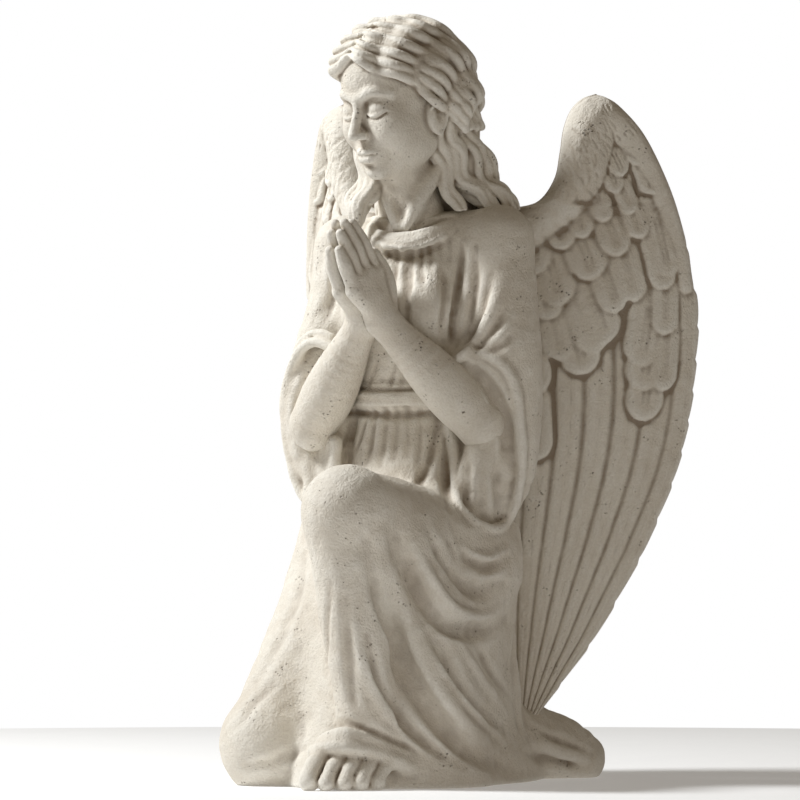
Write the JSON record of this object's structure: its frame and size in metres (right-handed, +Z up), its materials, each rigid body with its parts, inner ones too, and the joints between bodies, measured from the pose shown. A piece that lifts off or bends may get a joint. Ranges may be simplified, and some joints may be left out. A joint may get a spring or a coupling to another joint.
{
  "type": "resin angel figurine",
  "caption": "Kneeling robed angel in prayer with long wavy hair and tall swept-back feathered wings, hollow-cast in pale resin, standing on its own flat rim.",
  "frame": {"origin": "centre of the figurine's bounding box in plan, on the ground under its rim", "axes": "+Z up, -Y the way the figure faces, +X the figure's own left"},
  "size_m": [0.2374, 0.2444, 0.4001],
  "materials": {
    "resin": "matte cast stone effect, weathered cream",
    "base_resin": "matte, unpainted",
    "steel": "plain drawn rod",
    "rubber": "matte black"
  },
  "bodies": {
    "root": {"body_casting": "resin", "head_casting": "resin", "left_forearm": "resin", "right_forearm": "resin", "left_wing": "resin", "right_wing": "resin", "left_wing_dowels": "steel", "right_wing_dowels": "steel", "neck_dowel": "steel", "forearm_dowels": "steel", "base_plate": "base_resin", "fill_stopper": "rubber"}
  },
  "joints": []
}
